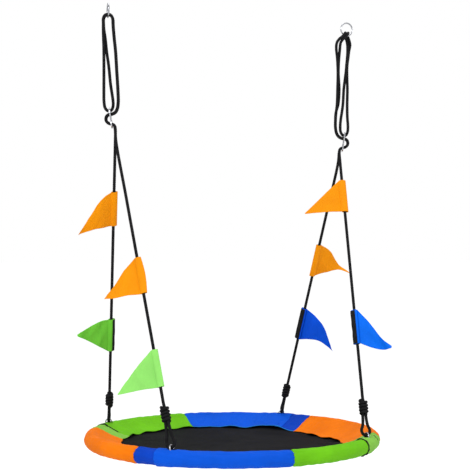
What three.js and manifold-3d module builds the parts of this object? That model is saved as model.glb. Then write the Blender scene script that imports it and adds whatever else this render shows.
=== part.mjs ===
// Saucer tree swing: a round padded seat with a woven mat, hung by two doubled ropes from two steel rings.
// Millimetres, +Z up, +X from the left ring to the right ring, the front towards -Y.
// The origin is midway between the two points where the rings hang on their hooks.
import * as THREE from "three";
import { mergeVertices } from "three/addons/utils/BufferGeometryUtils.js";
import Module from "manifold-3d";

const wasm = await Module();
wasm.setup();

// ---------------------------------------------------------------- driving dimensions
const GAP = 0.3; // between pieces that touch
const RUN = 0.4; // round a rope or a wire that bears on its neighbour

// seat
const SEAT_CIRCLE_R = 473; // centre line of the frame tube
const HANG_DROP = 1440; // from the hooks down to the middle of the seat
const PAD_DIAMETER = 50; // outside of the cover
const COVER_WALL = 1.5;
const COVER_HEM = 73; // how far the cover's inner hems lie over the mat
const TUBE_DIAMETER = 28;
const TUBE_WALL = 2;
const SPIGOT_LENGTH = 70; // half of it in each tube
const SPIGOT_BORE = 16;
const SCREW_DIAMETER = 6;
const SCREW_HEAD = 10; // across the corners
const SCREW_HEAD_HEIGHT = 3;
const MAT_THICKNESS = 3;
const MAT_DROP = 19; // how far the middle of the mat hangs below the frame's centre line
const BINDING_WIDTH = 9;
const BINDING_WALL = 0.8;

// lug on the tube and the small ring in it
const LUG_WIRE = 5;
const LUG_INNER_WIDTH = 15;
const LUG_HEIGHT = 8.5; // least height of the lug's centre line above the top of the tube
const LUG_SINK = 5.5; // most that the lug's centre line lies below the top of the pad
const HANGER_OUTER = 28;
const HANGER_WIRE = 4.5;
const LUG_PLAY = 2.75; // between the lug and the small ring in it, for each unit that the ring leans over

// ropes, top rings and adjusters
const ROPE = 10;
const STRAND_SPACE = 0.6; // between two strands that lie side by side
const TOP_RING_SPACING = 880;
const TOP_RING_OUTER = 50;
const TOP_RING_WIRE = 5;
const LOOP_TURN = -22.5; // turn of the hanging loops about +Z, degrees
const LEFT_RING_TURN = -10; // turn of the left ring's axis from +X, degrees
const PLATE_THICKNESS = 4;
const PLATE_RIM = 4.5;
const PLATE_PITCH = 36; // between the two holes
const PLATE_TILT = 7.9; // degrees
const KNOT_DIAMETER = 30;
const KNOT_WAIST = 25;
const KNOT_WRAPS = 5;
const KNOT_LENGTH = 55;

// flags
const FLAG_HEIGHT = 118;
const FLAG_LENGTH = 145;
const FLAG_THICKNESS = 2;
const SLEEVE_WALL = 1.8;

const ARC_STEP = 7.5; // degrees between the rings of everything that follows the seat's circle
const TUBE_SIDES = 8; // of every section round the frame tube

// ---------------------------------------------------------------- sizes that follow
const padR = PAD_DIAMETER / 2;
const tubeR = TUBE_DIAMETER / 2;
const ropeR = ROPE / 2;
const ringWireR = TOP_RING_WIRE / 2;
const strand = (ROPE + STRAND_SPACE) / 2; // half the pitch of two strands side by side
const ringCentreR = TOP_RING_OUTER / 2 - ringWireR;
const ringHeight = TOP_RING_WIRE - TOP_RING_OUTER / 2; // the ring's centre below the hook's contact
const wireHeight = ringHeight - ringCentreR; // the centre of the wire at the ring's bottom
const lugTop = Math.max(tubeR + LUG_HEIGHT, padR - LUG_SINK); // the lug's centre line, above the tube's
const lugHoleTop = lugTop - LUG_WIRE / 2;
const lugR = (LUG_INNER_WIDTH + LUG_WIRE) / 2;
const hangerR = (HANGER_OUTER - HANGER_WIRE) / 2;
const openHalf = lugR + LUG_WIRE / 2 + 3; // half the opening in foam and cover at each lug
const openAngle = THREE.MathUtils.radToDeg(openHalf / SEAT_CIRCLE_R);
const gapAngle = THREE.MathUtils.radToDeg(GAP / 2 / (SEAT_CIRCLE_R - padR));
const matR = SEAT_CIRCLE_R - tubeR - 2 * GAP;

const parts = new THREE.Group();
const rad = THREE.MathUtils.degToRad;
const vec = (x, y, z) => new THREE.Vector3(x, y, z);

// ---------------------------------------------------------------- materials
const paint = (color, roughness, metalness = 0) =>
  new THREE.MeshStandardMaterial({ color, roughness, metalness });
const MATERIALS = {
  steel: paint(0xb9bcc0, 0.3, 1),
  zinc: paint(0x9fa3a8, 0.45, 1),
  rope: paint(0x141415, 0.85),
  foam: paint(0x2a2a2c, 0.95),
  mat: paint(0x26262a, 0.75),
  blue: paint(0x0a5fe0, 0.55),
  green: paint(0x78c81e, 0.55),
  orange: paint(0xff7a00, 0.55),
  binding: paint(0x101012, 0.8),
  flag_orange: paint(0xff9200, 0.6),
  flag_green: paint(0x7fdc46, 0.6),
  flag_blue: paint(0x0a5ce6, 0.6),
};

function add(name, geometry, material) {
  geometry.computeVertexNormals();
  const mesh = new THREE.Mesh(geometry, MATERIALS[material]);
  mesh.name = name;
  parts.add(mesh);
}

// ---------------------------------------------------------------- solids
function indexed(position, index) {
  return new THREE.BufferGeometry()
    .setAttribute("position", new THREE.Float32BufferAttribute(position, 3))
    .setIndex(index);
}

function manifold(geometry) {
  const plain = geometry.index ? geometry.toNonIndexed() : geometry.clone();
  const merged = mergeVertices(
    new THREE.BufferGeometry().setAttribute("position", plain.getAttribute("position")),
    1e-4,
  );
  return new wasm.Manifold(
    new wasm.Mesh({
      numProp: 3,
      vertProperties: merged.attributes.position.array,
      triVerts: new Uint32Array(merged.index.array),
    }),
  );
}

function geometryOf(solid) {
  const mesh = solid.getMesh();
  return indexed(Array.from(mesh.vertProperties), Array.from(mesh.triVerts));
}

const joined = (...pieces) => geometryOf(pieces.map(manifold).reduce((a, b) => a.add(b)));
const cut = (body, ...tools) =>
  geometryOf(tools.map(manifold).reduce((a, b) => a.subtract(b), manifold(body)));

// Corners of a regular polygon whose corners lie on the circle, counter-clockwise.
function polygon(radius, sides) {
  return Array.from({ length: sides }, (_, i) => {
    const a = (2 * Math.PI * i) / sides;
    return new THREE.Vector2(radius * Math.cos(a), radius * Math.sin(a));
  });
}

// What follows the seat's circle is a chain of straight chords, one each ARC_STEP degrees. This is how far
// from the axis a chord is at an angle, as a share of its distance at its ends.
function chordShare(angle) {
  const middle = (Math.floor(angle / ARC_STEP) + 0.5) * ARC_STEP;
  return Math.cos(rad(ARC_STEP / 2)) / Math.cos(rad(angle - middle));
}
const onCircle = (angle, z = 0) => {
  const r = SEAT_CIRCLE_R * chordShare(angle);
  return vec(r * Math.cos(rad(angle)), r * Math.sin(rad(angle)), z - HANG_DROP);
};

// A closed section swept about +Z from one angle to another. Its points are (outwards, up) from the seat's circle.
function arcPiece(section, from, to) {
  const angles = [from];
  for (let a = Math.ceil((from + 0.01) / ARC_STEP) * ARC_STEP; a < to - 0.01; a += ARC_STEP)
    angles.push(a);
  angles.push(to);
  const n = section.length;
  const last = (angles.length - 1) * n;
  const position = [];
  const index = [];
  for (const a of angles)
    for (const p of section) {
      const r = SEAT_CIRCLE_R * chordShare(a) + p.x;
      position.push(r * Math.cos(rad(a)), r * Math.sin(rad(a)), p.y - HANG_DROP);
    }
  for (let ring = 0; ring < last; ring += n)
    for (let i = 0; i < n; i++) {
      const a = ring + i;
      const b = ring + ((i + 1) % n);
      index.push(a, a + n, b, b, a + n, b + n);
    }
  for (const [a, b, c] of THREE.ShapeUtils.triangulateShape(section, [])) {
    index.push(a, b, c);
    index.push(last + a, last + c, last + b);
  }
  return indexed(position, index);
}

// A ring of round wire in the local XY plane.
const wireRing = (outer, wire, steps, sides) =>
  new THREE.TorusGeometry((outer - wire) / 2, wire / 2, sides, steps);

// A round bar along chosen points: its rings stand at the points, so close points make a smooth bend.
function bar(points, diameter, sides = 8) {
  const curve = new THREE.CatmullRomCurve3(points, false, "centripetal");
  curve.getPointAt = curve.getPoint;
  curve.getTangentAt = curve.getTangent;
  return new THREE.ExtrudeGeometry(new THREE.Shape(polygon(diameter / 2, sides)), {
    steps: points.length - 1,
    extrudePath: curve,
    bevelEnabled: false,
  });
}

// A solid of revolution from (radius, height) points that start and end on the axis.
const turned = (profile, sides) =>
  new THREE.LatheGeometry(profile.map(([r, h]) => new THREE.Vector2(r, h)), sides).rotateX(Math.PI / 2);

// Places a geometry whose local X, Y and Z become the given directions.
const oriented = (geometry, x, y, z, origin) =>
  geometry.applyMatrix4(new THREE.Matrix4().makeBasis(x, y, z).setPosition(origin));

// ---------------------------------------------------------------- where things are
// Four hanging points on the seat's circle. The eye of each rope end is turned about its leg from the
// seat's tangent, and the small ring between eye and lug is turned from the seat's radius.
const HANGERS = [
  { name: "front_left", angle: 225, knot: 88, eyeTurn: 0, ringTurn: 0 },
  { name: "back_left", angle: 135, knot: 68, eyeTurn: 20, ringTurn: 10 },
  { name: "back_right", angle: 45, knot: 72, eyeTurn: -60, ringTurn: -30 },
  { name: "front_right", angle: 315, knot: 78, eyeTurn: -60, ringTurn: -30 },
];

const SIDES = {
  left: { x: -TOP_RING_SPACING / 2, plate: [7.5, -356.5], tilt: PLATE_TILT, legStart: [24, 8, -430] },
  right: { x: TOP_RING_SPACING / 2, plate: [-9.5, -404], tilt: PLATE_TILT, legStart: [-26, 8, -475] },
};

// The loops' own directions: along is across the loop, deep is through it.
const along = vec(Math.cos(rad(LOOP_TURN)), Math.sin(rad(LOOP_TURN)), 0);
const deep = vec(-along.y, along.x, 0);
const up = vec(0, 0, 1);
const looped = (side, [u, w, z]) =>
  vec(SIDES[side].x, 0, z).addScaledVector(along, u).addScaledVector(deep, w);
const placed = (side, [x, y, z]) => vec(SIDES[side].x + x, y, z);

for (const h of HANGERS) {
  h.side = h.name.endsWith("left") ? "left" : "right";
  h.front = h.name.startsWith("front") ? -1 : 1;
  const radial = vec(Math.cos(rad(h.angle)), Math.sin(rad(h.angle)), 0);
  const tangent = vec(-radial.y, radial.x, 0);
  const [u, w, z] = SIDES[h.side].legStart;
  h.start = looped(h.side, [u, h.front * w, z]);
  h.lug = onCircle(h.angle, lugHoleTop);
  h.up = h.start.clone().sub(h.lug).normalize();
  // directions square to the leg: out from the seat's centre, and along its rim
  h.out = radial.clone().addScaledVector(h.up, -radial.dot(h.up)).normalize();
  h.rim = h.up.clone().cross(h.out);
  h.at = (distance) => h.lug.clone().addScaledVector(h.up, distance);
  h.turned = (degrees) =>
    h.out.clone().multiplyScalar(Math.cos(rad(degrees))).addScaledVector(h.rim, Math.sin(rad(degrees)));
  h.tangent = tangent;
  // both above the lug's hole top, along the leg
  h.ringCentre = hangerR - HANGER_WIRE / 2 - LUG_PLAY * Math.hypot(h.up.x, h.up.y);
  h.eyeBottom = h.ringCentre + hangerR - HANGER_WIRE / 2 - ropeR - RUN;
}

// ---------------------------------------------------------------- top rings
// The right ring faces the front; the left ring is seen from its edge.
add("ring_right", oriented(wireRing(TOP_RING_OUTER, TOP_RING_WIRE, 28, 8),
  vec(1, 0, 0), up, vec(0, -1, 0), placed("right", [0, 0, ringHeight])), "steel");

const leftAxis = vec(Math.cos(rad(LEFT_RING_TURN)), Math.sin(rad(LEFT_RING_TURN)), 0);
add("ring_left", oriented(wireRing(TOP_RING_OUTER, TOP_RING_WIRE, 28, 8),
  up.clone().cross(leftAxis), up, leftAxis, placed("left", [0, 0, ringHeight])), "steel");

// ---------------------------------------------------------------- ropes: the hanging loops
// Height of a rope that lies over the wire at the bottom of a ring, where the wire is this far along.
const crest = (offset) =>
  ringHeight - Math.sqrt(ringCentreR ** 2 - offset ** 2) + ringWireR + ropeR + 2 * RUN;

// The last stretch of a loop runs in line with its leg, so that the two meet face to face.
function legEnd(hanger) {
  return [hanger.start, hanger.start.clone().addScaledVector(hanger.up, ROPE)];
}
const hangerNamed = (name) => HANGERS.find((h) => h.name === name);

// One of the two strands from an adjuster up to the left ring; front is -1 for the strand nearer the front.
const leftRise = (front) => [
  ...legEnd(hangerNamed(front < 0 ? "front_left" : "back_left")),
  ...[
    [24.2, -408], [21.5, -398.2], [13, -393.6], [3, -391], [-4, -385], [-6, -377], [-3.5, -368], [3, -362.8],
    [8, -361.8], [16, -360], [25, -354.5], [31, -343], [34, -322], [33, -284], [29, -219], [25, -155],
    [20.5, -112], [17.5, -78], [16.6, -62], [16, -50], [13, -40.8], [7.2, -35.2],
  ].map(([u, z]) => looped("left", [u, front * strand, z])),
  looped("left", [0, front * strand, crest(strand)]),
];

// The strand that comes down from the front half, turns through the adjuster and goes back up.
const leftReturn = [
  [-7, -1, -35.2], [-12.6, -1, -40.8], [-15.2, -1, -50], [-15, -1, -62], [-15, -1, -84], [-13, -1, -150],
  [-12.5, -1, -219], [-12.5, -1, -295], [-12, -0.75, -322], [-8.5, -0.4, -341], [-1.5, -0.2, -349.2], [6.2, 0, -350.6],
  [13, 0.2, -346.2], [17, 0.45, -334], [16.7, 0.75, -318], [13.7, 0.9, -297], [8, 1, -260], [4, 1, -219],
  [0.5, 1, -190], [-4, 1, -160], [-9.5, 1, -110], [-14, 1, -80],
  [-15, 1, -62], [-15.2, 1, -50], [-12.6, 1, -40.8], [-7, 1, -35.2],
].map(([u, half, z]) => looped("left", [u, half * strand, z]));

add("rope_left_loops", bar([...leftRise(-1), ...leftReturn, ...leftRise(1).reverse()], ROPE), "rope");

// The two strands from the right adjuster spread towards the front before they pass over the right ring.
const rightRise = (front) => [
  ...legEnd(hangerNamed(front < 0 ? "front_right" : "back_right")),
  ...[
    [-26.6, -455], [-23.6, -445.6], [-15, -441], [-5, -438.5], [1.8, -432], [3.6, -424], [1, -415.5], [-5, -410.3],
    [-10, -409.3], [-18, -407.5], [-28, -402], [-36, -390], [-40, -370], [-40, -343], [-38, -315],
  ].map(([u, z]) => looped("right", [u, front * strand, z])),
];
const rightOuter = [
  [-35, -5.3, -287], [-33, -5.3, -230], [-32, -8, -173], [-35, -18, -125], [-39, -28, -95],
].map((p) => looped("right", p));
const rightInner = [
  [-30, 5.3, -287], [-26, 5.3, -235], [-29, 4, -173], [-28, -8, -125], [-26, -20, -95],
].map((p) => looped("right", p));
// Over the ring each strand follows (along X, degrees round the wire from its top, distance from the wire).
const overWire = ([x, degrees, distance]) =>
  [x, distance * Math.sin(rad(degrees)), wireHeight + distance * Math.cos(rad(degrees))];
const overRadius = crest(strand) + RUN - wireHeight;
const rightOuterOver = [
  [-48, -14, -81], [-45, -14.4, -70], [-36.5, -14.8, -58.5], [-26, -15, -50],
  ...[
    [-17.5, -88, 14.6], [-11.8, -62, 13.7], [-8, -32, 11], [-strand - 0.4, 0, overRadius], [-3.8, 32, 11],
    [-1.6, 62, 13], [1.4, 90, 13.6],
  ].map(overWire),
  [4.5, 14, -50], [8, 14, -60], [10.2, 13.6, -72],
].map((p) => placed("right", p));
const rightInnerOver = [
  [-33, -14, -81], [-31, -14.4, -71], [-23.5, -14.6, -60], [-14, -14.6, -51],
  ...[
    [-6, -88, 14.2], [-0.6, -62, 13], [3, -32, 11], [strand + 0.4, 0, overRadius], [7.2, 32, 11],
    [9.2, 62, 13], [12.2, 90, 13.6],
  ].map(overWire),
  [15.3, 14, -50], [18.8, 14, -60], [21, 13.6, -72],
].map((p) => placed("right", p));

// From behind the ring down to the adjuster, through it, and up to the other place behind the ring.
const rightReturn = [
  [4, 7.5, -95], [2, 0, -120], [-0.7, -4, -145], [-3, -5.3, -170], [-7, -5.3, -202], [-10.6, -5.3, -230],
  [-14, -5.3, -287], [-17.7, -5.3, -315], [-22, -5, -343], [-23.7, -4, -368], [-22.5, -2.5, -383],
  [-17, -1, -394], [-9.5, 0, -398.4], [-2.4, 0.8, -395.6], [3, 2.5, -384], [4.5, 4, -365], [2.5, 5.3, -330],
  [2, 5.3, -290], [3, 5.5, -230], [2, 6.5, -190], [2.5, 9, -150], [7, 14, -117], [10, 18, -95],
].map((p) => looped("right", p));

add("rope_right_loops", bar([
  ...rightRise(-1), ...rightOuter, ...rightOuterOver,
  ...rightReturn,
  ...rightInnerOver.toReversed(), ...rightInner.toReversed(), ...rightRise(1).toReversed(),
], ROPE), "rope");

// ---------------------------------------------------------------- adjusters
// A steel plate with two holes: the upper one takes three strands, the lower one two.
const upperHoleR = strand + ropeR + 3.4;
const lowerHoleR = strand + ropeR + 1.4;
function adjuster(side) {
  const { plate: [u, z], tilt } = SIDES[side];
  const topR = upperHoleR + PLATE_RIM;
  const lowR = lowerHoleR + PLATE_RIM;
  const shape = new THREE.Shape();
  shape.absarc(0, 0, topR, rad(-40), rad(220), false);
  shape.absarc(0, -PLATE_PITCH, lowR, rad(140), rad(400), false);
  shape.closePath();
  for (const [y, radius] of [[0, upperHoleR], [-PLATE_PITCH, lowerHoleR]])
    shape.holes.push(new THREE.Path().absarc(0, y, radius, 0, 2 * Math.PI, true));
  const plate = new THREE.ExtrudeGeometry(shape, {
    depth: PLATE_THICKNESS, bevelEnabled: false, curveSegments: 10,
  }).translate(0, 0, -PLATE_THICKNESS / 2);
  // local X is through the loop, local Y up the plate, local Z across the loop
  const lean = side === "left" ? tilt : -tilt;
  const plateUp = up.clone().applyAxisAngle(deep, -rad(lean));
  return oriented(plate, deep, plateUp, deep.clone().cross(plateUp), looped(side, [u, 0, z]));
}
for (const side of ["left", "right"]) add(`adjuster_${side}`, adjuster(side), "steel");

// ---------------------------------------------------------------- legs, knots, eyes and small rings
function knot() {
  const profile = [[0, 0], [KNOT_WAIST / 2 - 3, 0]];
  const wrap = KNOT_LENGTH / KNOT_WRAPS;
  for (let i = 0; i < KNOT_WRAPS; i++) {
    profile.push([KNOT_DIAMETER / 2, (i + 0.5) * wrap]);
    if (i + 1 < KNOT_WRAPS) profile.push([KNOT_WAIST / 2, (i + 1) * wrap]);
  }
  profile.push([KNOT_WAIST / 2 - 3, KNOT_LENGTH], [0, KNOT_LENGTH]);
  return turned(profile, 10);
}

// The eye leaves the knot as two strands side by side and opens to a rounded bottom.
function eye(h) {
  const length = h.knot - h.eyeBottom;
  const half = [
    [strand, -GAP], [strand + 0.6, -length * 0.2], [strand + 3, -length * 0.5], [strand + 5.8, -length + 17],
    [strand + 5.4, -length + 9], [strand + 1.5, -length + 2.4],
  ];
  const across = h.turned(90 + h.eyeTurn);
  const point = ([x, z]) => h.at(h.knot + z).addScaledVector(across, x);
  const other = half.toReversed().map(([x, z]) => [-x, z]);
  return bar([...half, [0, -length], ...other].map(point), ROPE);
}

for (const h of HANGERS) {
  const legLow = h.at(h.knot + KNOT_LENGTH + GAP);
  const legHigh = h.start.clone().addScaledVector(h.up, -GAP);
  h.legLength = legHigh.distanceTo(legLow);
  add(`rope_leg_${h.name}`, bar([legHigh, legLow], ROPE), "rope");
  add(`knot_${h.name}`, oriented(knot(), h.out, h.rim, h.up, h.at(h.knot)), "rope");
  add(`eye_${h.name}`, eye(h), "rope");
  const width = h.turned(h.ringTurn);
  add(`hanger_ring_${h.name}`, oriented(wireRing(HANGER_OUTER, HANGER_WIRE, 16, 6),
    width, h.up, width.clone().cross(h.up), h.at(h.ringCentre)), "steel");
}

// ---------------------------------------------------------------- frame: tubes with lugs, spigots, screws
// Four quarter tubes, each with its lug in the middle, meet where the seat crosses the X and Y axes.
const QUARTERS = ["back_right", "back_left", "front_left", "front_right"];
const tubeSection = (radius) => polygon(radius, TUBE_SIDES);
const jointGap = THREE.MathUtils.radToDeg(GAP / SEAT_CIRCLE_R);
const spigotR = tubeR - TUBE_WALL - GAP;
const spigotAngle = THREE.MathUtils.radToDeg(SPIGOT_LENGTH / 2 / SEAT_CIRCLE_R);
const screwAngle = spigotAngle / 2; // the screw sits halfway along the spigot's second half

// A cylinder down through the tube at an angle round the seat, between two heights above the tube's centre.
function upright(angle, diameter, low, high, sides) {
  const height = high - low;
  return new THREE.CylinderGeometry(diameter / 2, diameter / 2, height, sides)
    .rotateX(Math.PI / 2)
    .applyMatrix4(new THREE.Matrix4().setPosition(onCircle(angle, low + height / 2)));
}
const screwHole = (angle) => upright(angle, SCREW_DIAMETER + 2 * GAP, -tubeR - 1, 0, 8);

function lug(h) {
  const foot = tubeR - TUBE_WALL + 0.4;
  const bend = lugTop - lugR;
  const points = [[-lugR, foot], [-lugR, bend]];
  for (let i = 1; i < 6; i++)
    points.push([-lugR * Math.cos((Math.PI * i) / 6), bend + lugR * Math.sin((Math.PI * i) / 6)]);
  points.push([lugR, bend], [lugR, foot]);
  return bar(points.map(([t, z]) => onCircle(h.angle, z).addScaledVector(h.tangent, t)), LUG_WIRE, 8);
}

QUARTERS.forEach((name, i) => {
  const from = 90 * i;
  const h = hangerNamed(name);
  const outer = arcPiece(tubeSection(tubeR), from + jointGap / 2, from + 90 - jointGap / 2);
  const bore = arcPiece(tubeSection(tubeR - TUBE_WALL), from - 1, from + 91);
  add(`frame_tube_${name}`,
    geometryOf(manifold(outer).add(manifold(lug(h))).subtract(manifold(bore))
      .subtract(manifold(screwHole(from + screwAngle)))),
    "zinc");
  add(`spigot_${i + 1}`,
    cut(arcPiece(tubeSection(spigotR), from - spigotAngle, from + spigotAngle),
      arcPiece(tubeSection(SPIGOT_BORE / 2), from - spigotAngle - 1, from + spigotAngle + 1),
      screwHole(from + screwAngle)),
    "zinc");
  add(`joint_screw_${i + 1}`,
    joined(upright(from + screwAngle, SCREW_DIAMETER, -tubeR - 1, -SPIGOT_BORE / 2 + 1, 8),
      upright(from + screwAngle, SCREW_HEAD, -tubeR - GAP - SCREW_HEAD_HEIGHT, -tubeR - GAP, 6)),
    "zinc");
});

// ---------------------------------------------------------------- foam and cover
// An open ring section: two arcs round the tube with a slit towards the seat's centre, and a hem of some length
// that falls with the mat.
function openSection(outerR, innerR, slit, hem) {
  const wall = outerR - innerR;
  const outerHalf = hem ? slit + wall : slit;
  const outerFrom = 180 - THREE.MathUtils.radToDeg(Math.asin(outerHalf / outerR));
  const innerFrom = 180 - THREE.MathUtils.radToDeg(Math.asin(slit / innerR));
  const arc = (radius, from) => Array.from({ length: TUBE_SIDES + 1 }, (_, i) => {
    const a = rad(-from + (2 * from * i) / TUBE_SIDES);
    return new THREE.Vector2(radius * Math.cos(a), radius * Math.sin(a));
  });
  const tip = -outerR - hem;
  return hem
    ? [...arc(outerR, outerFrom), new THREE.Vector2(tip, outerHalf - MAT_DROP),
      new THREE.Vector2(tip, slit - MAT_DROP), ...arc(innerR, innerFrom).reverse(),
      new THREE.Vector2(tip, -slit - MAT_DROP), new THREE.Vector2(tip, -outerHalf - MAT_DROP)]
    : [...arc(outerR, outerFrom), ...arc(innerR, innerFrom).reverse()];
}

const slitHalf = MAT_THICKNESS / 2 + GAP;
const coverInner = padR - COVER_WALL;
const foamBoreR = (tubeR + GAP) / Math.cos(Math.PI / TUBE_SIDES);
const foamSection = openSection(coverInner - GAP, foamBoreR, slitHalf, 0);
const coverSection = openSection(padR, coverInner, slitHalf, COVER_HEM);
const screwRoom = (angle) =>
  upright(angle, (SCREW_HEAD + 2 * GAP) / Math.cos(Math.PI / 8), -tubeR - SCREW_HEAD_HEIGHT - 2 * GAP, 0, 8);

// Each foam sleeve and each cover runs from lug to lug, across one joint of the frame.
const SPANS = [
  { name: "right", from: -45, joint: 1, colours: [["green", -30], ["orange", 30], ["blue", 45]] },
  { name: "back", from: 45, joint: 2, colours: [["blue", 90], ["green", 135]] },
  { name: "left", from: 135, joint: 3, colours: [["green", 150], ["orange", 210], ["blue", 225]] },
  { name: "front", from: 225, joint: 4, colours: [["blue", 270], ["green", 315]] },
];
for (const span of SPANS) {
  const screw = 90 * (span.joint - 1) + screwAngle;
  add(`foam_${span.name}`,
    cut(arcPiece(foamSection, span.from + openAngle, span.from + 90 - openAngle), screwRoom(screw)), "foam");
  let from = span.from;
  for (const [colour, to] of span.colours) {
    const start = from === span.from ? from + openAngle : from + gapAngle;
    const end = to === span.from + 90 ? to - openAngle : to - gapAngle;
    add(`cover_${span.name}_${colour}`, arcPiece(coverSection, start, end), colour);
    from = to;
  }
}

// Black binding on the cover ends at the back left and the front right.
const bindingR = padR + GAP;
const bindingSlit = slitHalf + COVER_WALL + 2 * GAP; // clear of the falling hem
const bindingSection = openSection(bindingR + BINDING_WALL, bindingR, bindingSlit, 0);
const bindingAngle = THREE.MathUtils.radToDeg(BINDING_WIDTH / SEAT_CIRCLE_R);
for (const [name, end] of [["back_left", 135 + openAngle], ["front_right", 315 - openAngle - bindingAngle]])
  add(`binding_${name}`, arcPiece(bindingSection, end, end + bindingAngle), "binding");

// ---------------------------------------------------------------- mat
// A round sheet that falls from the pad to the cover's hem and is flat inside it, where its two faces have one
// large triangle in the middle.
function mat() {
  const sides = Math.round(360 / ARC_STEP);
  const core = 3;
  const hemR = SEAT_CIRCLE_R - padR - COVER_HEM;
  const falls = SEAT_CIRCLE_R - Math.sqrt(coverInner ** 2 - slitHalf ** 2); // where the cover's slit ends
  const rings = [
    [polygon(matR, sides), 0],
    [polygon(falls, sides), 0],
    [polygon(hemR, sides), -MAT_DROP],
    [polygon(matR / 2, core), -MAT_DROP],
  ];
  const position = [];
  const index = [];
  for (const z of [MAT_THICKNESS / 2, -MAT_THICKNESS / 2])
    for (const [ring, height] of rings)
      for (const p of ring) position.push(p.x, p.y, z + height - HANG_DROP);
  const layer = position.length / 6;
  const middle = sides * (rings.length - 1);
  const face = (a, b, c) => index.push(a, b, c, layer + a, layer + c, layer + b);
  face(middle, middle + 1, middle + 2);
  const share = sides / core;
  const near = (i) => Math.floor((i + share / 2) / share) % core;
  for (let i = 0; i < sides; i++) {
    const j = (i + 1) % sides;
    for (let ring = 0; ring < middle - sides; ring += sides) {
      face(ring + i, ring + j, ring + sides + i);
      face(ring + j, ring + sides + j, ring + sides + i);
    }
    const hem = middle - sides;
    face(hem + i, hem + j, middle + near(i));
    if (near(i) !== near(j)) face(hem + j, middle + near(j), middle + near(i));
    index.push(i, layer + i, j, j, layer + i, layer + j);
  }
  return indexed(position, index);
}
add("mat", mat(), "mat");

// ---------------------------------------------------------------- flags
// Each pennant is sewn to a sleeve on a leg. It lies down the leg from its start by a share of the leg's
// length, its tip hangs below its top corner, and it is turned about the leg from the loops' own plane.
const FLAGS = [
  { name: "flag_back_left_upper", leg: "back_left", share: 0.208, drop: 145, turn: 215, material: "flag_orange" },
  { name: "flag_front_left_upper", leg: "front_left", share: 0.47, drop: 125, turn: 150, material: "flag_orange" },
  { name: "flag_back_left_lower", leg: "back_left", share: 0.7, drop: 60, turn: 212, material: "flag_green" },
  { name: "flag_front_left_lower", leg: "front_left", share: 0.805, drop: 132, turn: 158, material: "flag_green" },
  { name: "flag_front_right_upper", leg: "front_right", share: 0.104, drop: 117, turn: 195, material: "flag_orange" },
  { name: "flag_back_right_upper", leg: "back_right", share: 0.376, drop: 92, turn: 35, material: "flag_orange" },
  { name: "flag_back_right_lower", leg: "back_right", share: 0.657, drop: 150, turn: -38, material: "flag_blue" },
  { name: "flag_front_right_lower", leg: "front_right", share: 0.65, drop: 122, turn: -33, material: "flag_blue" },
];
const sleeveInner = ropeR + RUN;
const sleeveOuter = sleeveInner + SLEEVE_WALL;

function pennant(drop) {
  const sleeve = new THREE.Shape(polygon(sleeveOuter, 10));
  sleeve.holes.push(new THREE.Path(polygon(sleeveInner / Math.cos(Math.PI / 10), 10)));
  const tube = new THREE.ExtrudeGeometry(sleeve, { depth: FLAG_HEIGHT, bevelEnabled: false })
    .translate(0, 0, -FLAG_HEIGHT);
  const cloth = new THREE.Shape([
    new THREE.Vector2(sleeveOuter - SLEEVE_WALL / 2, 0),
    new THREE.Vector2(sleeveOuter - SLEEVE_WALL / 2, -FLAG_HEIGHT),
    new THREE.Vector2(FLAG_LENGTH, -drop - 2),
    new THREE.Vector2(FLAG_LENGTH, -drop + 2),
  ].reverse());
  const blade = new THREE.ExtrudeGeometry(cloth, { depth: FLAG_THICKNESS, bevelEnabled: false })
    .translate(0, 0, -FLAG_THICKNESS / 2)
    .rotateX(Math.PI / 2);
  return joined(tube, blade);
}

for (const flag of FLAGS) {
  const h = hangerNamed(flag.leg);
  const level = along.clone().multiplyScalar(Math.cos(rad(flag.turn)))
    .addScaledVector(deep, Math.sin(rad(flag.turn)));
  const outward = level.addScaledVector(h.up, -level.dot(h.up)).normalize();
  const top = h.start.clone().addScaledVector(h.up, -flag.share * h.legLength);
  add(flag.name, oriented(pennant(flag.drop), outward, h.up.clone().cross(outward), h.up, top), flag.material);
}

export default parts;
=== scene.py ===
"""Saucer tree swing: padded seat, braided ropes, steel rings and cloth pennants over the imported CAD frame."""
import math

import bmesh
import bpy
import numpy as np
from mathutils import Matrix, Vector


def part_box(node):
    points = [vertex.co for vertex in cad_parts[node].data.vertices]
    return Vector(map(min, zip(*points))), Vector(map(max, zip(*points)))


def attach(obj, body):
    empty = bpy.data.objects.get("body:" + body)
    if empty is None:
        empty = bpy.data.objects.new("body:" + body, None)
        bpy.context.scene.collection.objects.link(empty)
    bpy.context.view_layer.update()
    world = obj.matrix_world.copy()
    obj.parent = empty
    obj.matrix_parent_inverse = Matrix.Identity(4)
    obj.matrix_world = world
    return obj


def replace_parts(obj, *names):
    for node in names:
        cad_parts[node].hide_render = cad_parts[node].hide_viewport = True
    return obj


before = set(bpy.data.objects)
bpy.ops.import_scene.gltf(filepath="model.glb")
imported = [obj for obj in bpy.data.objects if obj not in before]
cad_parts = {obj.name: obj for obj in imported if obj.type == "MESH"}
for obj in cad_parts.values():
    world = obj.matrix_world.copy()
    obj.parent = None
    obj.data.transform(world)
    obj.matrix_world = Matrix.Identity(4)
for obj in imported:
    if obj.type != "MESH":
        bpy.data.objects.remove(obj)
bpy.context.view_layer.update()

SWING = "seat_and_ropes"
HOOK = "hook_ring"

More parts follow.
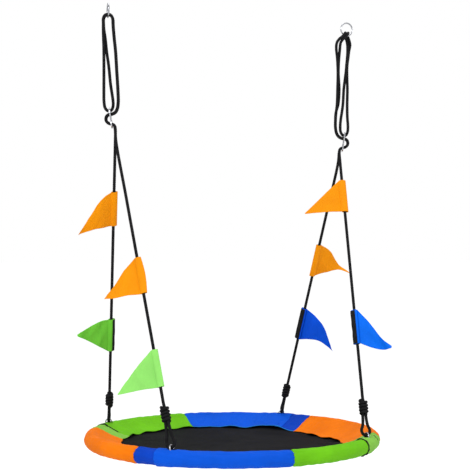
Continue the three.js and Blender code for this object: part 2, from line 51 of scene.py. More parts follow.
# ------------------------------------------------------------------ sizes, in metres
mat_low, mat_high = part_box("mat")
pad_low, pad_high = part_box("cover_right_orange")
ring_low, ring_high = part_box("ring_right")
SEAT_Z = (pad_low.z + pad_high.z) / 2
SEAT_R = 0.473  # the frame tube's centre line
PAD_R = (pad_high.z - pad_low.z) / 2
MAT_R = (mat_high.x - mat_low.x) / 2 - 0.002
HEM_R = 0.375  # where the cover's flap over the mat ends
FALL_R = 0.449  # the mat falls from here to the flap's end
MAT_DROP = 0.019  # below the tube's centre line
MAT_SAG = 0.003
CLOTH = 0.0012
OVERLAP = 6.0  # degrees that a cover section reaches past a hanging point, over its neighbour
TUCK = 2.3  # degrees short of the hanging point where the section underneath stops
COLUMN_PITCH = 0.42  # degrees between a panel's rows of points round the seat
SLIT_BINDING_R = 0.0009
# radius of the rolled hem on the blue panels, whose lighter blue is a painted highlight
HEM_HIGHLIGHT_R = 0.0014
VENT_BINDING_R = 0.0019
EDGE_BINDING_R = 0.0021

ROPE_R = 0.005
STRAND = 0.0053  # half the pitch of two strands side by side
BRAID_PITCH = 0.0072  # one diamond of the braid along the rope
BRAID_STRANDS = 6
ROPE_SIDES = 24
RING_SPACING = ring_high.x + ring_low.x  # the two rings stand as far left as right
RING_R = (ring_high.z - ring_low.z) / 2 - 0.0025
RING_WIRE_R = 0.0025
RING_Z = (ring_high.z + ring_low.z) / 2
WIRE_Z = RING_Z - RING_R  # the wire's centre at the bottom of a top ring
ROPE_GAP = 0.0008  # between a rope and the wire that it goes over
LEFT_EXIT = (0.024, -0.430)  # where the legs leave the adjuster: along the loops' plane, and height
RIGHT_EXIT = (-0.026, -0.475)
HANGER_R = 0.01175
HANGER_WIRE_R = 0.00225
LUG_HOLE_TOP = 0.020  # above the frame tube's centre line
HANGER_CENTRE = 0.0086  # above the lug's hole top, along the leg
EYE_BOTTOM = 0.0127
KNOT_LENGTH = 0.055
KNOT_HALF = (0.0112, 0.0094)  # half-widths to the middle of the turns, across the eye's plane and square to it
KNOT_TURNS = 4.5
TURN_POINTS = 12

FLAG_HEIGHT = 0.118
FLAG_CLOTH = 0.0007
TAPE = 0.0009
SLEEVE_R = 0.0130

VIEW_AZIMUTH = -22.5
VIEW_RISE = -1.07
VIEW_DISTANCE = 4.184
VIEW_LENS = 94.1
ROOM_LIGHT = 0.6
FLOOR_GLOW = 0.48  # what the floor lacks of the backdrop's brightness
FLOOR_Z = -2.1
FLOOR_HALF = 300
AIM = Vector((0.0093, -0.0035, -0.7535))


def direction(degrees):
    return np.array([math.cos(math.radians(degrees)), math.sin(math.radians(degrees)), 0.0])


def unit(v):
    return v / np.linalg.norm(v)


UP = np.array([0.0, 0.0, 1.0])
ALONG = direction(-22.5)  # the rope loops' own plane
DEEP = np.cross(UP, ALONG)


# ------------------------------------------------------------------ camera, light and floor
def make_camera():
    data = bpy.data.cameras.new("camera")
    data.lens = VIEW_LENS
    data.sensor_width = 36
    camera = bpy.data.objects.new("camera", data)
    bpy.context.scene.collection.objects.link(camera)
    a = math.radians(VIEW_AZIMUTH)
    e = math.radians(VIEW_RISE)
    back = Vector((math.sin(a) * math.cos(e), -math.cos(a) * math.cos(e), math.sin(e)))
    camera.location = AIM + back * VIEW_DISTANCE
    camera.rotation_euler = back.to_track_quat("Z", "Y").to_euler()
    bpy.context.scene.camera = camera


def area_light(name, place, aim, size, power):
    data = bpy.data.lights.new(name, "AREA")
    data.shape = "DISK"
    data.size = size
    data.energy = power
    light = bpy.data.objects.new(name, data)
    bpy.context.scene.collection.objects.link(light)
    light.location = place
    light.rotation_euler = (Vector(place) - Vector(aim)).to_track_quat("Z", "Y").to_euler()


def make_studio():
    bpy.context.scene.view_settings.view_transform = "Standard"
    world = bpy.data.worlds.new("studio")
    bpy.context.scene.world = world
    world.use_nodes = True
    tree = world.node_tree
    paper = tree.nodes["Background"]
    paper.inputs["Color"].default_value = (1, 1, 1, 1)
    # the white backdrop is brighter than the light that it gives
    seen = tree.nodes.new("ShaderNodeLightPath")
    strength = tree.nodes.new("ShaderNodeMapRange")
    strength.inputs["To Min"].default_value = ROOM_LIGHT
    strength.inputs["To Max"].default_value = 1.0
    tree.links.new(seen.outputs["Is Camera Ray"], strength.inputs["Value"])
    tree.links.new(strength.outputs["Result"], paper.inputs["Strength"])
    area_light("key", (-2.6, -3.4, 1.6), (0, 0, -1.1), 2.2, 105)
    area_light("side", (3.4, -1.6, 0.4), (0, 0, -0.9), 1.8, 26)
    area_light("top", (0, 0.6, 2.2), (0, 0, -1.4), 2.0, 32)
    ends = (-FLOOR_HALF, FLOOR_HALF)
    floor = surface("floor", np.array([[(x, y, FLOOR_Z) for y in ends] for x in ends], float))
    floor.data.materials.append(plain_floor())


# ------------------------------------------------------------------ mesh helpers
def surface(name, points, wrap_rows=False, wrap_columns=False, caps=False, uv=None, drop=None):
    """A smooth mesh over a (rows, columns, 3) grid of points. A face with all its points in drop is left out."""
    rows, columns = points.shape[:2]
    i, j = np.meshgrid(
        np.arange(rows if wrap_rows else rows - 1),
        np.arange(columns if wrap_columns else columns - 1), indexing="ij",
    )
    i, j = i.ravel(), j.ravel()
    corners = [(i, j), (i, j + 1), (i + 1, j + 1), (i + 1, j)]
    index = np.stack([(a % rows) * columns + b % columns for a, b in corners], axis=1)
    keep = np.ones(len(index), bool) if drop is None else ~drop.ravel()[index].all(axis=1)
    faces = index[keep].tolist()
    quads = len(faces)
    if caps:
        faces.append(list(range(columns))[::-1])
        faces.append([(rows - 1) * columns + k for k in range(columns)])
    mesh = bpy.data.meshes.new(name)
    mesh.from_pydata(points.reshape(-1, 3).tolist(), [], faces)
    if uv is not None:
        flat = np.stack([uv[a, b] for a, b in corners], axis=1)[keep].reshape(-1, 2)
        loops = np.zeros((len(mesh.loops), 2), np.float32)
        loops[: 4 * quads] = flat
        mesh.uv_layers.new(name="cloth").data.foreach_set("uv", loops.ravel())
    mesh.polygons.foreach_set("use_smooth", [True] * len(faces))
    mesh.update()
    made = bpy.data.objects.new(name, mesh)
    bpy.context.scene.collection.objects.link(made)
    return made


def smooth(points, step):
    """A centripetal Catmull-Rom curve through the points, given back with a point each step along it."""
    p = np.array(points, float)
    p = np.vstack([2 * p[0] - p[1], p, 2 * p[-1] - p[-2]])
    fine = []
    for a, b, c, d in zip(p, p[1:], p[2:], p[3:]):
        roots = [math.sqrt(np.linalg.norm(v - u)) for u, v in ((a, b), (b, c), (c, d))]
        t = np.cumsum([0.0, *roots])
        s = np.linspace(t[1], t[2], 14, endpoint=False)[:, None]
        ab = ((t[1] - s) * a + (s - t[0]) * b) / (t[1] - t[0])
        bc = ((t[2] - s) * b + (s - t[1]) * c) / (t[2] - t[1])
        cd = ((t[3] - s) * c + (s - t[2]) * d) / (t[3] - t[2])
        abc = ((t[2] - s) * ab + (s - t[0]) * bc) / (t[2] - t[0])
        bcd = ((t[3] - s) * bc + (s - t[1]) * cd) / (t[3] - t[1])
        fine.append(((t[2] - s) * abc + (s - t[1]) * bcd) / (t[2] - t[1]))
    return even(np.vstack([*fine, p[-2:-1]]), step)


def lengths(line):
    """How far along a line each of its points is."""
    return np.concatenate([[0.0], np.cumsum(np.linalg.norm(np.diff(line, axis=0), axis=1))])


def even(line, step):
    along = lengths(line)
    at = np.linspace(0, along[-1], max(2, round(along[-1] / step)) + 1)
    return np.stack([np.interp(at, along, line[:, k]) for k in range(3)], axis=1)


def square_frames(line, closed=False):
    """Two directions square to the line at each point, turned as little as possible along it."""
    if closed:
        tangents = np.roll(line, -1, axis=0) - np.roll(line, 1, axis=0)
    else:
        tangents = np.gradient(line, axis=0)
    tangents /= np.linalg.norm(tangents, axis=1)[:, None]
    first = np.cross(tangents[0], UP if abs(tangents[0][2]) < 0.9 else ALONG)
    sides = [unit(first)]
    for t in tangents[1:]:
        sides.append(unit(sides[-1] - t * np.dot(sides[-1], t)))
    sides = np.array(sides)
    return sides, np.cross(tangents, sides)


def tube(name, line, radius, sides, closed=False):
    """A round bar along a line. radius is a number, or one for each point, or one for each point and side."""
    a, b = square_frames(line, closed)
    radius = np.broadcast_to(np.array(radius, float).reshape(-1, 1) if np.ndim(radius) == 1 else radius,
                             (len(line), sides))
    angle = np.linspace(0, 2 * math.pi, sides, endpoint=False)
    ring = a[:, None] * np.cos(angle)[None, :, None] + b[:, None] * np.sin(angle)[None, :, None]
    points = line[:, None] + ring * radius[..., None]
    along = lengths(line)
    if closed:
        along = np.append(along, along[-1] + along[1])
    around = np.linspace(0, 1, sides + 1) * 2 * math.pi * float(np.mean(radius))
    uv = np.stack(np.broadcast_arrays(around[None, :], along[:, None]), axis=2)
    return surface(name, points, wrap_rows=closed, wrap_columns=True, caps=not closed, uv=uv)


def ripples(u, v, wave_u, wave_v, seed):
    """Smooth random waves, about -1 to 1, whose lengths are near wave_u and wave_v."""
    rng = np.random.default_rng(seed)
    total = np.zeros(np.broadcast(u, v).shape)
    for _ in range(9):
        ku, kv = rng.uniform(0.45, 1.6, 2) * 2 * math.pi / np.array([wave_u, wave_v])
        total += np.sin(ku * u + rng.choice([-1, 1]) * kv * v + rng.uniform(0, 2 * math.pi))
    return total / 4


# ------------------------------------------------------------------ materials
def srgb(r, g, b):
    """A colour given as 0 to 255 on a screen, as the linear numbers that a shader takes."""
    linear = [c / 3294.6 if c <= 10 else ((c / 255 + 0.055) / 1.055) ** 2.4 for c in (r, g, b)]
    return (*linear, 1.0)


class Nodes:
    """A new material with its shader, and short ways to add nodes to it."""

    def __init__(self, name, roughness, metallic=0.0, shine=0.5):
        self.material = bpy.data.materials.new(name)
        self.material.use_nodes = True
        self.tree = self.material.node_tree
        self.shader = self.tree.nodes["Principled BSDF"]
        self.shader.inputs["Roughness"].default_value = roughness
        self.shader.inputs["Metallic"].default_value = metallic
        self.shader.inputs["Specular IOR Level"].default_value = shine

    def add(self, kind, values=(), **settings):
        node = self.tree.nodes.new("ShaderNode" + kind)
        for key, value in settings.items():
            setattr(node, key, value)
        for key, value in dict(values).items():
            if isinstance(value, bpy.types.NodeSocket):
                self.tree.links.new(value, node.inputs[key])
            else:
                node.inputs[key].default_value = value
        return node

    def link(self, socket, name):
        self.tree.links.new(socket, self.shader.inputs[name])

    def noise(self, vector, scale, detail=3.0):
        return self.add("TexNoise", {"Vector": vector, "Scale": scale, "Detail": detail}).outputs["Fac"]

    def shades(self, factor, dark, light, low=0.35, high=0.65):
        ramp = self.add("ValToRGB", {"Fac": factor})
        ramp.color_ramp.elements[0].position = low
        ramp.color_ramp.elements[1].position = high
        ramp.color_ramp.elements[0].color = dark
        ramp.color_ramp.elements[1].color = light
        return ramp.outputs["Color"]

    def math(self, operation, a, b):
        return self.add("Math", {0: a, 1: b}, operation=operation).outputs[0]

    def bump(self, height, distance, strength=1.0, below=None):
        values = {"Height": height, "Distance": distance, "Strength": strength}
        if below is not None:
            values["Normal"] = below
        return self.add("Bump", values).outputs["Normal"]

    def weave(self, vector, period):
        """Crossing threads, as a height from 0 to 1. A wave texture's own period is 0.314 at scale 1."""
        scale = 0.314 / period
        warp = self.add("TexWave", {"Vector": vector, "Scale": scale, "Distortion": 0.4}, bands_direction="X")
        weft = self.add("TexWave", {"Vector": vector, "Scale": scale, "Distortion": 0.4}, bands_direction="Y")
        return self.math("MAXIMUM", warp.outputs["Fac"], weft.outputs["Fac"])


def scaled(color, share):
    return (*(min(1.0, c * share) for c in color[:3]), 1.0)


def cloth_material(name, color, period=0.0011, roughness=0.72, soft=0.12):
    """Coated woven polyester: threads whose raised crests are painted lighter as a painted highlight, slow shade
    changes, and soft creases.
    """
    n = Nodes(name, roughness, shine=0.12)
    place = n.add("TexCoord").outputs["Object"]
    uv = n.add("UVMap", uv_map="cloth").outputs["UV"]
    slow = n.noise(place, 9.0)
    threads = n.weave(uv, period)
    base = n.shades(slow, scaled(color, 1 - soft), scaled(color, 1 + soft / 2))
    # the raised threads are mixed toward a lighter copy of the colour: a painted highlight on the weave's crests
    lit_thread_crests = n.add("MixRGB", {"Fac": n.math("MULTIPLY", threads, 0.16), "Color1": base,
                              "Color2": scaled(color, 1.25)})
    n.link(lit_thread_crests.outputs[0], "Base Color")
    rough = n.add("MapRange", {"Value": n.noise(place, 60.0), "To Min": roughness - 0.08,
                               "To Max": roughness + 0.08})
    n.link(rough.outputs[0], "Roughness")
    creases = n.bump(n.noise(place, 34.0, 2.0), 0.0025, 0.35)
    n.link(n.bump(threads, 0.00022, 0.6, creases), "Normal")
    return n.material


def mat_material():
    n = Nodes("mat_weave", 0.8, shine=0.06)
    place = n.add("TexCoord").outputs["Object"]
    uv = n.add("UVMap", uv_map="cloth").outputs["UV"]
    threads = n.weave(uv, 0.0018)
    slow = n.shades(n.noise(place, 5.0), srgb(17, 17, 19), srgb(25, 25, 27))
    # the raised threads are mixed toward a lighter grey: a painted highlight on the weave's crests
    lit_weave_crests = n.add("MixRGB", {"Fac": n.math("MULTIPLY", threads, 0.35), "Color1": slow,
                             "Color2": srgb(34, 34, 37)})
    n.link(lit_weave_crests.outputs[0], "Base Color")
    rough = n.add("MapRange", {"Value": n.noise(place, 25.0), "To Min": 0.7, "To Max": 0.9})
    n.link(rough.outputs[0], "Roughness")
    folds = n.bump(n.noise(place, 7.0, 2.0), 0.006, 0.35)
    n.link(n.bump(threads, 0.0004, 0.7, folds), "Normal")
    return n.material


def rope_material():
    """Black braided polyester: the braid is in the mesh, the fine yarns are here, their raised crests painted
    lighter as a painted highlight.
    """
    n = Nodes("rope_braid", 0.78, shine=0.15)
    place = n.add("TexCoord").outputs["Object"]
    uv = n.add("UVMap", uv_map="cloth").outputs["UV"]
    fibres = n.weave(uv, 0.0007)
    shade = n.shades(n.noise(place, 90.0), srgb(9, 9, 10), srgb(24, 24, 26))
    # the raised yarns are mixed toward a lighter grey: a painted highlight on the fibres' crests
    lit_weave_crests = n.add("MixRGB", {"Fac": n.math("MULTIPLY", fibres, 0.25), "Color1": shade,
                             "Color2": srgb(38, 38, 41)})
    n.link(lit_weave_crests.outputs[0], "Base Color")
    rough = n.add("MapRange", {"Value": n.noise(place, 200.0), "To Min": 0.66, "To Max": 0.9})
    n.link(rough.outputs[0], "Roughness")
    n.link(n.bump(fibres, 0.00025, 0.7), "Normal")
    return n.material


def steel_material(name, light, dark, roughness):
    n = Nodes(name, roughness, metallic=1.0)
    place = n.add("TexCoord").outputs["Object"]
    n.link(n.shades(n.noise(place, 160.0), dark, light), "Base Color")
    rough = n.add("MapRange", {"Value": n.noise(place, 420.0), "To Min": roughness - 0.06,
                               "To Max": roughness + 0.14})
    n.link(rough.outputs[0], "Roughness")
    n.link(n.bump(n.noise(place, 700.0), 0.00006, 0.5), "Normal")
    return n.material


def tape_material():
    """Black ribbed tape: the cover's binding and the flags' hook-and-loop strips."""
    n = Nodes("black_tape", 0.85, shine=0.15)
    place = n.add("TexCoord").outputs["Object"]
    n.link(n.shades(n.noise(place, 260.0), srgb(14, 14, 15), srgb(38, 38, 40)), "Base Color")
    n.link(n.bump(n.noise(place, 900.0), 0.0004, 0.8), "Normal")
    return n.material


def foam_material():
    n = Nodes("grey_foam", 0.95)
    place = n.add("TexCoord").outputs["Object"]
    cells = n.add("TexVoronoi", {"Vector": place, "Scale": 420.0}).outputs["Distance"]
    # the cell hollows are painted darker than the cell walls: painted shade in the pits, which the bump also
    # dents
    n.link(n.shades(cells, srgb(70, 70, 74), srgb(110, 110, 114), 0.1, 0.7), "Base Color")
    n.link(n.bump(cells, 0.0005, 0.6), "Normal")
    return n.material


def plain_floor():
    n = Nodes("pale_floor", 0.9)
    place = n.add("TexCoord").outputs["Object"]
    n.shader.inputs["Emission Color"].default_value = (1, 1, 1, 1)
    seen = n.add("LightPath").outputs["Is Camera Ray"]
    n.link(n.math("MULTIPLY", seen, FLOOR_GLOW), "Emission Strength")
    n.link(n.shades(n.noise(place, 0.8), srgb(246, 246, 246), srgb(250, 250, 250)), "Base Color")
    return n.material


MATERIALS = {
    "blue": cloth_material("cover_blue", srgb(0, 86, 217)),
    "deep_blue": cloth_material("cover_deep_blue", srgb(0, 64, 188)),
    # lighter blue of the rolled hem on the blue panels: a painted highlight along the hem's edge
    "hem_highlight_blue": cloth_material("cover_pale_blue", srgb(40, 136, 220)),
    "green": cloth_material("cover_green", srgb(110, 195, 22)),
    "pale_green": cloth_material("cover_pale_green", srgb(134, 198, 76)),
    "orange": cloth_material("cover_orange", srgb(255, 124, 0)),
    "flag_orange": cloth_material("pennant_orange", srgb(255, 152, 0), 0.0008, 0.66),
    "flag_green": cloth_material("pennant_green", srgb(112, 208, 62), 0.0008, 0.66),
    "flag_pale_green": cloth_material("pennant_pale_green", srgb(150, 232, 112), 0.0008, 0.66),
    "flag_blue": cloth_material("pennant_blue", srgb(0, 86, 234), 0.0008, 0.66),
    "flag_bright_blue": cloth_material("pennant_bright_blue", srgb(0, 112, 250), 0.0008, 0.66),
    "mat": mat_material(),
    "rope": rope_material(),
    "steel": steel_material("bright_steel", srgb(212, 213, 217), srgb(176, 178, 184), 0.2),
    "zinc": steel_material("zinc_steel", srgb(170, 172, 177), srgb(135, 138, 144), 0.42),
    "tape": tape_material(),
    "foam": foam_material(),
}


def dress(piece, material, body=SWING):
    piece.data.materials.append(MATERIALS[material])
    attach(piece, body)
    return piece


# ------------------------------------------------------------------ hanging points and legs
class Hanger:
    """One hanging point on the seat: the leg above it, and directions square to that leg."""

    def __init__(self, name, angle, knot, eye_turn, ring_turn):
        self.name, self.angle, self.knot, self.ring_turn = name, angle, knot, ring_turn
        self.left = name.endswith("left")
        self.front = -1 if name.startswith("front") else 1
        radial = direction(angle)
        across, height = LEFT_EXIT if self.left else RIGHT_EXIT
        self.start = loop_point(self.left, across, self.front * 0.008, height)
        self.lug = radial * SEAT_R + UP * (SEAT_Z + LUG_HOLE_TOP)
        self.up = unit(self.start - self.lug)
        self.out = unit(radial - self.up * np.dot(radial, self.up))
        self.rim = np.cross(self.up, self.out)
        self.across = self.turned(90 + eye_turn)
        self.low = self.at(knot + KNOT_LENGTH)
        self.leg = np.linalg.norm(self.start - self.low)

    def at(self, distance):
        return self.lug + self.up * distance

    def turned(self, degrees):
        a = math.radians(degrees)
        return self.out * math.cos(a) + self.rim * math.sin(a)


def loop_point(left, along, deep, height):
    x = -RING_SPACING / 2 if left else RING_SPACING / 2
    return np.array([x, 0, height]) + ALONG * along + DEEP * deep


HANGERS = {
    h.name: h
    for h in (
        Hanger("front_left", 225, 0.088, 0, 0),
        Hanger("back_left", 135, 0.068, 20, 10),
        Hanger("back_right", 45, 0.072, -60, -30),
        Hanger("front_right", 315, 0.078, -60, -30),
    )
}


def eye_and_leg(h):
    """The rope from inside the knot, down round the small ring, back up through the knot and up the leg."""
    drop = h.knot - EYE_BOTTOM
    half = [
        (STRAND, 0.012), (STRAND, 0.0), (STRAND + 0.0006, -drop * 0.2), (STRAND + 0.003, -drop * 0.5),
        (STRAND + 0.0080, -drop + 0.019), (STRAND + 0.0074, -drop + 0.010), (STRAND + 0.0022, -drop + 0.0026),
    ]
    first = [(-x, z) for x, z in [(STRAND, 0.034), *half]]
    second = [*reversed(half), (STRAND * 0.9, 0.024), (STRAND * 0.3, 0.045)]
    eye = [h.at(h.knot + z) + h.across * x for x, z in [*first, (0.0, -drop), *second]]
    shares = (0.0, 0.03, 0.25, 0.5, 0.75, 0.97)
    return eye + [h.low + h.up * (h.leg * share + 0.006) for share in shares]


# ------------------------------------------------------------------ rope routes, listed points
def crest(offset):
    """Height of a rope over the wire at the bottom of a ring, where the wire is this far along it."""
    return RING_Z - math.sqrt(RING_R**2 - offset**2) + RING_WIRE_R + ROPE_R + ROPE_GAP


def left_rise(front):
    route = [
        (0.0242, -0.408), (0.0215, -0.3982), (0.013, -0.3936), (0.003, -0.391), (-0.004, -0.385),
        (-0.006, -0.377), (-0.0035, -0.368), (0.003, -0.3628), (0.008, -0.3618), (0.016, -0.360),
        (0.025, -0.3545), (0.031, -0.343), (0.034, -0.322), (0.033, -0.284), (0.029, -0.219),
        (0.025, -0.155), (0.0205, -0.112), (0.0175, -0.078), (0.0166, -0.062), (0.016, -0.050),
        (0.013, -0.0408), (0.0072, -0.0352), (0.0, crest(STRAND)),
    ]
    return [loop_point(True, u, front * STRAND, z) for u, z in route]


def left_return():
    route = [
        (-0.007, -1, -0.0352), (-0.0126, -1, -0.0408), (-0.0152, -1, -0.050), (-0.015, -1, -0.062),
        (-0.015, -1, -0.084), (-0.013, -1, -0.150), (-0.0125, -1, -0.219), (-0.0125, -1, -0.295),
        (-0.012, -0.75, -0.322), (-0.0085, -0.4, -0.341), (-0.0015, -0.2, -0.3492), (0.0062, 0, -0.3506),
        (0.013, 0.2, -0.3462), (0.017, 0.45, -0.334), (0.0167, 0.75, -0.318), (0.0137, 0.9, -0.297),
        (0.008, 1, -0.260), (0.004, 1, -0.219), (0.0005, 1, -0.190), (-0.004, 1, -0.160),
        (-0.0095, 1, -0.110), (-0.014, 1, -0.080), (-0.015, 1, -0.062), (-0.0152, 1, -0.050),
        (-0.0126, 1, -0.0408), (-0.007, 1, -0.0352),
    ]
    return [loop_point(True, u, half * STRAND, z) for u, half, z in route]


def right_rise(front):
    route = [
        (-0.0266, -0.455), (-0.0236, -0.4456), (-0.015, -0.441), (-0.005, -0.4385), (0.0018, -0.432),
        (0.0036, -0.424), (0.001, -0.4155), (-0.005, -0.4103), (-0.010, -0.4093), (-0.018, -0.4075),
        (-0.028, -0.402), (-0.036, -0.390), (-0.040, -0.370), (-0.040, -0.343), (-0.038, -0.315),
    ]
    return [loop_point(False, u, front * STRAND, z) for u, z in route]


def right_loop(route):
    return [loop_point(False, *p) for p in route]


def over_wire(route):
    """Points over the right ring's wire: (along X, degrees round the wire from its top, distance from it)."""
    return [
        (x, far * math.sin(math.radians(turn)), WIRE_Z + far * math.cos(math.radians(turn)))
        for x, turn, far in route
    ]


def at_right_ring(route):
    return [np.array([RING_SPACING / 2 + x, y, z]) for x, y, z in route]


OVER = crest(STRAND) + 0.0004 - WIRE_Z
OUTER_UP = right_loop([
    (-0.035, -0.0053, -0.287), (-0.033, -0.0053, -0.230), (-0.032, -0.008, -0.173),
    (-0.035, -0.018, -0.125), (-0.039, -0.028, -0.095),
])
INNER_UP = right_loop([
    (-0.030, 0.0053, -0.287), (-0.026, 0.0053, -0.235), (-0.029, 0.004, -0.173),
    (-0.028, -0.008, -0.125), (-0.026, -0.020, -0.095),
])
OUTER_OVER = at_right_ring([
    (-0.048, -0.014, -0.081), (-0.045, -0.0144, -0.070), (-0.0365, -0.0148, -0.0585),
    (-0.026, -0.015, -0.050),
    *over_wire([
        (-0.0175, -88, 0.0146), (-0.0118, -62, 0.0137), (-0.008, -32, 0.011), (-STRAND - 0.0004, 0, OVER),
        (-0.0038, 32, 0.011), (-0.0016, 62, 0.013), (0.0014, 90, 0.0136),
    ]),
    (0.0045, 0.014, -0.050), (0.008, 0.014, -0.060), (0.0102, 0.0136, -0.072),
])
INNER_OVER = at_right_ring([
    (-0.033, -0.014, -0.081), (-0.031, -0.0144, -0.071), (-0.0235, -0.0146, -0.060),
    (-0.014, -0.0146, -0.051),
    *over_wire([
        (-0.006, -88, 0.0142), (-0.0006, -62, 0.013), (0.003, -32, 0.011), (STRAND + 0.0004, 0, OVER),
        (0.0072, 32, 0.011), (0.0092, 62, 0.013), (0.0122, 90, 0.0136),
    ]),
    (0.0153, 0.014, -0.050), (0.0188, 0.014, -0.060), (0.021, 0.0136, -0.072),
])
RIGHT_RETURN = right_loop([
    (0.004, 0.0075, -0.095), (0.002, 0, -0.120), (-0.0007, -0.004, -0.145), (-0.003, -0.0053, -0.170),
    (-0.007, -0.0053, -0.202), (-0.0106, -0.0053, -0.230), (-0.014, -0.0053, -0.287),
    (-0.0177, -0.0053, -0.315), (-0.022, -0.005, -0.343), (-0.0237, -0.004, -0.368),
    (-0.0225, -0.0025, -0.383), (-0.017, -0.001, -0.394), (-0.0095, 0, -0.3984),
    (-0.0024, 0.0008, -0.3956), (0.003, 0.0025, -0.384), (0.0045, 0.004, -0.365), (0.0025, 0.0053, -0.330),
    (0.002, 0.0053, -0.290), (0.003, 0.0055, -0.230), (0.002, 0.0065, -0.190), (0.0025, 0.009, -0.150),
    (0.007, 0.014, -0.117), (0.010, 0.018, -0.095),
])


def left_route():
    there = eye_and_leg(HANGERS["front_left"]) + left_rise(-1)
    back = eye_and_leg(HANGERS["back_left"]) + left_rise(1)
    return there + left_return() + back[::-1]


def right_route():
    there = eye_and_leg(HANGERS["front_right"]) + right_rise(-1) + OUTER_UP + OUTER_OVER
    back = eye_and_leg(HANGERS["back_right"]) + right_rise(1) + INNER_UP + INNER_OVER
    return there + RIGHT_RETURN + back[::-1]


def braided(name, route):
    """A braided rope whose diamonds stand up from its surface, and the line that it follows."""
    line = smooth(route, BRAID_PITCH / 4)
    around = np.arange(ROPE_SIDES) / ROPE_SIDES * BRAID_STRANDS
    along = lengths(line)[:, None] / BRAID_PITCH
    crossing = np.abs(np.sin(math.pi * (around + along)) * np.sin(math.pi * (around - along)))
    made = tube(name, line, ROPE_R * (0.92 + 0.12 * np.sqrt(crossing)), ROPE_SIDES)
    return made, line


def knot_wraps(h):
    """The turns of rope wound round the strands above an eye."""
    count = round(KNOT_TURNS * TURN_POINTS)
    through = np.cross(h.up, h.across)
    route = []
    for k in range(count + 1):
        angle = 2 * math.pi * k / TURN_POINTS + 0.6
        rise = 0.0045 + (KNOT_LENGTH - 0.009) * k / count
        slim = 1 - 0.16 * (2 * k / count - 1) ** 4
        route.append(h.at(h.knot + rise) + h.across * KNOT_HALF[0] * slim * math.cos(angle)
                     + through * KNOT_HALF[1] * slim * math.sin(angle))
    tail = h.at(h.knot + 0.030)
    made, _ = braided(f"knot_wraps_{h.name}", [tail + (route[0] - tail) * 0.4, *route,
                                               tail + (route[-1] - tail) * 0.75])
    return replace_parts(dress(made, "rope"), f"knot_{h.name}")


def make_ropes():
    for side, route in (("left", left_route()), ("right", right_route())):
        ends = [h for h in HANGERS.values() if h.left == (side == "left")]
        knots = [knot_wraps(h) for h in ends]
        rope, line = braided(f"rope_{side}", route)
        dress(rope, "rope")
        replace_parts(rope, f"rope_{side}_loops", *(f"{part}_{h.name}" for h in ends
                                                  for part in ("rope_leg", "eye")))


# ------------------------------------------------------------------ steel
def wire_ring(name, node, centre, u, v, radius, wire, body=SWING):
    """A welded wire ring: the weld is a low bulge at the ring's side."""
    angle = np.linspace(0, 2 * math.pi, 96, endpoint=False)
    line = centre + radius * (np.cos(angle)[:, None] * u + np.sin(angle)[:, None] * v)
    weld = 1 + 0.10 * np.exp(-((np.mod(angle + 2.7, 2 * math.pi) - math.pi) * radius / (wire * 0.9)) ** 2)
    made = tube(name, line, wire * weld, 20, closed=True)
    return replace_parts(dress(made, "steel", body), node)


def make_steel():
    wire_ring("top_ring_right", "ring_right", np.array([RING_SPACING / 2, 0, RING_Z]), direction(0), UP,
              RING_R, RING_WIRE_R, HOOK)
    wire_ring("top_ring_left", "ring_left", np.array([-RING_SPACING / 2, 0, RING_Z]), direction(80), UP,
              RING_R, RING_WIRE_R)
    for h in HANGERS.values():
        wire_ring(f"small_ring_{h.name}", f"hanger_ring_{h.name}", h.at(HANGER_CENTRE),
                  h.turned(h.ring_turn), h.up, HANGER_R, HANGER_WIRE_R)
    for name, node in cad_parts.items():
        if name.startswith(("adjuster", "frame_tube", "spigot", "joint_screw")):
            node.data.materials.clear()
            node.data.materials.append(MATERIALS["steel" if name.startswith("adjuster") else "zinc"])
            weld = node.modifiers.new("weld", "WELD")
            weld.merge_threshold = 0.00001
            bevel = node.modifiers.new("soft_edges", "BEVEL")
            bevel.width = 0.0008 if name.startswith("adjuster") else 0.0003
            bevel.segments = 3
            bevel.limit_method = "ANGLE"
            bevel.angle_limit = math.radians(50)
        elif name.startswith("foam"):
            node.data.materials.clear()
            node.data.materials.append(MATERIALS["foam"])


# ------------------------------------------------------------------ cover panels
# (CAD node, colour, from, to, how it begins, how it ends): sewn to the next colour, over or under the next
# section at a hanging point.
PANELS = [
    ("cover_right_green", "pale_green", 315, 330, "over", "sewn"),
    ("cover_right_orange", "orange", 330, 390, "sewn", "sewn"),
    ("cover_right_blue", "deep_blue", 30, 45, "sewn", "under"),
    ("cover_back_blue", "blue", 45, 90, "over", "sewn"),
    ("cover_back_green", "green", 90, 135, "sewn", "over"),
    ("cover_left_green", "pale_green", 135, 150, "under", "sewn"),
    ("cover_left_orange", "orange", 150, 210, "sewn", "sewn"),
    ("cover_left_blue", "deep_blue", 210, 225, "sewn", "under"),
    ("cover_front_blue", "blue", 225, 270, "over", "sewn"),
    ("cover_front_green", "green", 270, 315, "sewn", "under"),
]
REACH = {"sewn": 0.0, "over": OVERLAP, "under": -TUCK}
BOUND_EDGES = {"cover_right_green": "binding_front_right", "cover_back_green": "binding_back_left"}
VENTS = {"cover_right_green": 322, "cover_left_green": 142}  # a short bound slit across the pad, by its angle
FLAP_COLUMNS = 20
ROUND_COLUMNS = 47
# in degrees up round the pad, from its outside:
TOP_EDGE = 132  # where the cloth leaves it for the upper flap
LOW_EDGE = -167  # where the cloth leaves it for the lower flap
VENT = (66, 18)  # the ends of the short slit
FELLED = (72, 46)  # two lines of sewing
FAR_ROUND = 300.0  # an angle that no line of sewing is near, for the flaps
PAD_ROOM = 0.0032  # the most that the cloth may stand off the foam


def near(distance, width):
    return np.exp(-((distance / width) ** 2))


def apart(theta, centre):
    """Degrees between angles, the short way round."""
    return (theta - centre + 180) % 360 - 180


